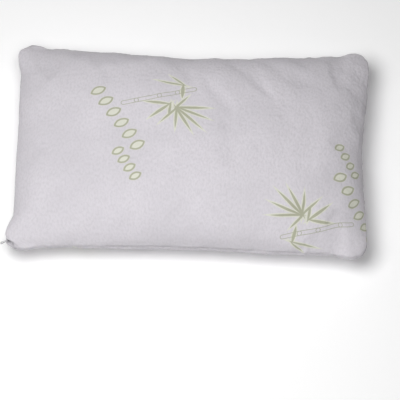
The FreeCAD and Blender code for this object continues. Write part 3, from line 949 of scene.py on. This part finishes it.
def knit_cover():
    """Off-white jacquard knit with a pebbled face, painted shade in the pits of its grain, and a pale green and
    grey print.
    """
    surface = Surface("knit_cover", 0.88, Sheen_Weight=0.10, Sheen_Roughness=0.5, Specular_IOR_Level=0.25)
    cut = surface.cut()
    offset = (-SPRIG_OFFSET[0], -SPRIG_OFFSET[1], 0.0)
    inputs = {0: cut, 1: (1.0, 1.0, 0.0), 2: offset}
    flat = surface.node("VectorMath", inputs, operation="MULTIPLY_ADD").outputs["Vector"]
    turned = (2 * SPRIG_TURN[0], 2 * SPRIG_TURN[1], 0.0)
    turned = surface.node("VectorMath", {0: turned, 1: flat}, operation="SUBTRACT").outputs["Vector"]
    beyond = surface.node("SeparateXYZ", {0: flat}).outputs["X"]
    beyond = surface.maths("GREATER_THAN", beyond, SPRIG_TURN[0])
    sprig = surface.node("Mix", {0: beyond, 4: flat, 5: turned}, data_type="VECTOR").outputs[1]

    worn = surface.maths("MULTIPLY", surface.noise(flat, PRINT_WEAR_LENGTH), PRINT_WEAR)
    leaves = lens_distance(surface, sprig, [lens(*leaf) for leaf in SPRIG_LEAVES])
    ovals = lens_distance(surface, sprig, oval_shapes())
    oval_sides = surface.maths("SUBTRACT", surface.maths("ABSOLUTE", ovals), OVAL_LINE)
    cane_sides = surface.maths("SUBTRACT", cane_distance(surface, sprig), CANE_LINE)
    ink = surface.maths("MINIMUM", surface.maths("MINIMUM", leaves, oval_sides), cane_sides)
    ink = surface.ramp(surface.maths("ADD", ink, worn), INK_EDGE, 0.0)
    ground = surface.maths("ADD", surface.maths("MINIMUM", leaves, ovals), worn)
    ground = surface.ramp(ground, GROUND_REACH + INK_EDGE, GROUND_REACH - INK_EDGE)

    inputs = {0: flat, 1: (1.0, GRAIN_ACROSS, 1.0)}
    wales = surface.node("VectorMath", inputs, operation="MULTIPLY").outputs["Vector"]
    columns = surface.stripes(flat, LOOP_WIDTH, "X")
    loops = surface.maths("MULTIPLY", columns, surface.stripes(flat, LOOP_HEIGHT, "Y"))
    grain = surface.noise(wales, GRAIN_SIZE, 3.0)
    clouds = surface.noise(flat, CLOUD_SIZE)
    body = surface.mixed(surface.ramp(clouds, 0.35, 0.65), KNIT_SHADE, KNIT_LIGHT)
    # Painted shade: the low parts of the grain are darkened towards the pit colour, as ambient shade.
    body = surface.mixed(surface.ramp(grain, *PIT_SHADE_LEVELS, PIT_SHADE_SHARE, 0.0), body, KNIT_PIT_SHADE)
    body = surface.mixed(surface.maths("MULTIPLY", ground, PRINT_STRENGTH), body, PRINT_PALE)
    body = surface.mixed(surface.maths("MULTIPLY", ink, PRINT_STRENGTH), body, PRINT_LINE)
    surface.bump(grain, GRAIN_DEPTH, 0.95)
    surface.bump(loops, LOOP_DEPTH, 0.8)
    return surface.done(body)


def darker(colour, share):
    """A colour brought down to a share of its strength."""
    return tuple(share * c for c in colour[:3]) + (1.0,)


def grey(level):
    """Neutral colour."""
    return (level, level, level, 1.0)


TWIST_PITCH = 0.0004
TWIST_DEPTH = 0.00008


def thread(name, colour):
    """Twisted sewing thread, with painted shade in the grooves of its twist."""
    surface = Surface(name, 0.6, Sheen_Weight=0.2)
    place = surface.place()
    twist = surface.stripes(place, TWIST_PITCH, "DIAGONAL")
    surface.bump(twist, TWIST_DEPTH)
    # Painted shade: the grooves of the twist are darker, following the same stripes as the bump.
    return surface.done(surface.mixed(surface.maths("MULTIPLY", twist, 0.8), darker(colour, 0.75), colour))


def woven(name, colour, pitch, roughness, depth):
    """Plain weave of a pitch, with the two sets of yarns crossing, painted shade where they dip, and slubs of
    uneven tone.
    """
    surface = Surface(name, roughness, Sheen_Weight=0.1)
    place = surface.place()
    warp = surface.maths("ADD", surface.stripes(place, pitch, "X"), surface.stripes(place, pitch, "Z"))
    weave = surface.maths("MULTIPLY", warp, surface.stripes(place, pitch, "Y"))
    slub = surface.noise(place, 6 * pitch, 3.0)
    # Partly painted shade, partly real: the colour is darker where the weave dips between the yarns, and it
    # varies with the slubs of the yarn.
    tone = surface.maths("MULTIPLY", surface.maths("ADD", weave, slub), 0.6, clamp=True)
    surface.bump(weave, depth)
    return surface.done(surface.mixed(tone, darker(colour, 0.80), colour))


def shredded_foam():
    """Cut crumbs of cream foam with open cells."""
    surface = Surface("shredded_foam", 0.95)
    place = surface.place()
    crumbs = surface.node("TexVoronoi", {"Vector": place, "Scale": 90.0})
    cells = surface.noise(place, 0.0012, 3.0)
    tint = surface.maths("MULTIPLY", crumbs.outputs["Color"], 0.7)
    surface.bump(crumbs.outputs["Distance"], 0.0015)
    surface.bump(cells, 0.0003)
    return surface.done(surface.mixed(tint, (0.72, 0.66, 0.50, 1.0), (0.86, 0.82, 0.70, 1.0)))


def coil_nylon():
    """Extruded nylon, a little worn and glossy."""
    surface = Surface("zip_coil", 0.32, Specular_IOR_Level=0.5, Coat_Weight=0.2)
    place = surface.place()
    wear = surface.noise(place, 0.004, 3.0)
    surface.bump(surface.noise(place, 0.0006, 2.0), 0.00003)
    return surface.done(surface.mixed(wear, (0.50, 0.50, 0.51, 1.0), (0.66, 0.66, 0.66, 1.0)))


def zip_metal():
    """Cast zinc alloy, plated and rubbed brighter on its corners."""
    surface = Surface("zip_metal", 0.34, Metallic=1.0)
    place = surface.place()
    cast = surface.noise(place, 0.0011, 4.0)
    pointiness = surface.node("NewGeometry", {}).outputs["Pointiness"]
    rubbed = surface.ramp(pointiness, 0.50, 0.56)
    tone = surface.mixed(cast, (0.20, 0.20, 0.21, 1.0), (0.33, 0.33, 0.34, 1.0))
    surface.bump(cast, 0.00005)
    return surface.done(surface.mixed(rubbed, tone, (0.62, 0.62, 0.63, 1.0)))


# The floor glows a little: the distances between which the glow grows, and its least and most strength.
FLOOR_GLOW = (0.5, 3.0, 0.14, 0.54)
# The walls all round are pale up to the first height and dim above the second, as parts of a unit direction.
WALL_HEIGHTS = (0.10, 0.34)
WALL_STRENGTHS = (0.62, 0.07)


def floor_finish():
    """Matt white paper with faint clouds, which glows more where the lamps hardly reach it."""
    surface = Surface("studio_paper", 0.9)
    place = surface.place()
    away = surface.node("VectorMath", {0: place}, operation="LENGTH").outputs["Value"]
    glow = surface.ramp(away, *FLOOR_GLOW)
    surface.tree.links.new(glow, surface.shader.inputs["Emission Strength"])
    surface.shader.inputs["Emission Color"].default_value = grey(1.0)
    return surface.done(surface.mixed(surface.noise(place, 0.5), grey(0.90), grey(0.93)))


def studio_walls():
    """Pale walls low down all round and a dimmer ceiling, as the background."""
    world = bpy.data.worlds.new("studio")
    world.use_nodes = True
    tree = world.node_tree
    direction = tree.nodes.new("ShaderNodeTexCoord").outputs["Generated"]
    height = tree.nodes.new("ShaderNodeSeparateXYZ")
    tree.links.new(direction, height.inputs[0])
    level = tree.nodes.new("ShaderNodeMapRange")
    level.interpolation_type = "SMOOTHSTEP"
    sockets = ("From Min", "From Max", "To Min", "To Max")
    for socket, value in zip(sockets, WALL_HEIGHTS + WALL_STRENGTHS):
        level.inputs[socket].default_value = value
    tree.links.new(height.outputs["Z"], level.inputs["Value"])
    tree.links.new(level.outputs[0], tree.nodes["Background"].inputs["Strength"])
    tree.nodes["Background"].inputs["Color"].default_value = grey(1.0)
    return world


# ---- light and camera --------------------------------------------------------------------------------

CAMERA_TURN = math.radians(1.8)
CAMERA_HEIGHT = math.radians(64)
CAMERA_DISTANCE = 7.0
FRAME_SPAN = 0.795
# How far right of and above the middle of the picture the pillow is.
PILLOW_OFF_CENTRE = (-0.016, 0.0975)
# Half the side of the square floor.
FLOOR_HALF = 6.0
# Soft boxes: name, place, what it faces, watts and side.
LAMPS = [
    ("key", (-0.36, -0.48, 1.90), (-0.1, 0.0, SEAM_Z), 36.0, 1.1),
    ("fill", (0.5, -0.8, 2.6), (0.0, 0.0, SEAM_Z), 4.0, 1.2),
]


def area_light(name, place, target, power, size):
    """Square soft box that faces a target."""
    lamp = bpy.data.lights.new(name, "AREA")
    lamp.energy = power
    lamp.size = size
    obj = linked(name, lamp)
    obj.location = place
    obj.rotation_euler = (Vector(target) - Vector(place)).to_track_quat("-Z", "Y").to_euler()


def studio():
    """Pale floor and walls, a soft light overhead to the left, and a weak one at the front right."""
    signs = ((-1, -1), (1, -1), (1, 1), (-1, 1))
    floor = new_object("floor", [(a * FLOOR_HALF, b * FLOOR_HALF, 0) for a, b in signs], [(0, 1, 2, 3)])
    floor.data.materials.append(floor_finish())
    bpy.context.scene.world = studio_walls()
    bpy.context.scene.view_settings.view_transform = "Standard"
    for lamp in LAMPS:
        area_light(*lamp)


def camera():
    """Long lens from in front and above, with the pillow in the upper part of the picture."""
    level = math.cos(CAMERA_HEIGHT)
    away = Vector((math.sin(CAMERA_TURN) * level, -math.cos(CAMERA_TURN) * level, math.sin(CAMERA_HEIGHT)))
    right = Vector((math.cos(CAMERA_TURN), math.sin(CAMERA_TURN), 0))
    up = away.cross(right)
    target = Vector((0, 0, SEAM_Z)) - right * PILLOW_OFF_CENTRE[0] - up * PILLOW_OFF_CENTRE[1]
    lens_data = bpy.data.cameras.new("camera")
    lens_data.sensor_width = 36
    lens_data.lens = lens_data.sensor_width * CAMERA_DISTANCE / FRAME_SPAN
    obj = linked("camera", lens_data)
    obj.location = target + away * CAMERA_DISTANCE
    obj.rotation_euler = (-away).to_track_quat("-Z", "Y").to_euler()
    bpy.context.scene.camera = obj


# ---- the pillow --------------------------------------------------------------------------------------

studio()
camera()

cover, grid_index = filled_cover()
crease(cover, grid_index)
layer_points = read_points(cover.data)
rest_on_floor(layer_points)
write_points(cover.data, layer_points)

knit = knit_cover()
sewing_thread = thread("white_thread", (0.80, 0.80, 0.79, 1.0))
liner_weave = woven("liner_cloth", (0.82, 0.82, 0.80, 1.0), pitch=0.0009, roughness=0.8, depth=0.0001)
label_weave = woven("label_satin", (0.86, 0.86, 0.85, 1.0), pitch=0.0006, roughness=0.4, depth=0.00004)
tape_weave = woven("zip_tape", (0.60, 0.60, 0.58, 1.0), pitch=0.0010, roughness=0.75, depth=0.00012)
nylon = coil_nylon()
metal = zip_metal()

for number, half in enumerate(("top", "bottom")):
    liner = liner_panel(f"liner_{half}_fabric", cover, number)
    finished(liner, "pillow", "liner_cloth", liner_weave, f"liner_{half}_panel")
foam = foam_crumbs(cover)
finished(foam, "pillow", "shredded_foam", shredded_foam(), "foam_fill")

cover_seam = seam_line(layer_points, grid_index)
liner_seam = liner_seam_line(layer_points, grid_index)
cover_overlock = overlock("cover_overlock_thread", cover_seam, OVERLOCK_INSIDE)
finished(cover_overlock, "pillow", "white_thread", sewing_thread, "cover_seam_overlock")
liner_overlock = overlock("liner_overlock_thread", liner_seam, LINER_OVERLOCK_INSIDE)
finished(liner_overlock, "pillow", "white_thread", sewing_thread, "liner_seam_overlock")
label = care_label("care_label_satin", layer_points[grid_index[1, CELLS_LONG, CELLS_WIDE // 2]][0])
finished(label, "pillow", "label_satin", label_weave, "care_label")

subdivided(cover, FINE_LEVELS)
points = read_points(cover.data)
cut = read_cut(cover.data)
points += read_normals(cover.data) * surface_relief(points, cut)[:, None]
puff_corners(points)
points[:, 2] = np.maximum(points[:, 2], 0.0)
write_points(cover.data, points)
for number, (half, side) in enumerate((("top", 1), ("bottom", -1))):
    panel = panel_object(cover, f"cover_{half}_fabric", number)
    turn_lip_in(panel, side)
    finished(panel, "pillow", "knit_cover", knit, f"cover_{half}_panel")
    place = "upper" if side > 0 else "lower"
    row = stitches(f"zipper_stitches_{place}", panel, side)
    finished(row, "pillow", "white_thread", sewing_thread, f"zipper_stitching_{place}")
    teeth = coil(f"zipper_coil_{place}_nylon", side)
    finished(teeth, "pillow", "zip_coil", nylon, f"zipper_coil_{place}")
    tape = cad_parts[f"zipper_tape_{place}"]
    tape.data.materials.clear()
    tape.data.materials.append(tape_weave)
bpy.data.objects.remove(cover)
# The underside is seen from its other side, so its print runs the other way along the pillow.
underside = bpy.data.objects["cover_bottom_fabric"].data
write_cut(underside, read_cut(underside) * (-1.0, 1.0, 1.0))

for place, end in (("front", -1), ("rear", 1)):
    tack = end_tack(f"zipper_end_tack_{place}_thread", end)
    finished(tack, "pillow", "white_thread", sewing_thread, f"zipper_end_tack_{place}")
slider = bevelled_copy("zipper_slider_body", "zipper_slider_casting", SLIDER_EDGE)
finished(slider, "slider", "zip_metal", metal, "zipper_slider_body")
pull = bevelled_copy("zipper_pull_tab", "zipper_pull_casting", PULL_EDGE)
finished(pull, "pull", "zip_metal", metal, "zipper_pull_tab")
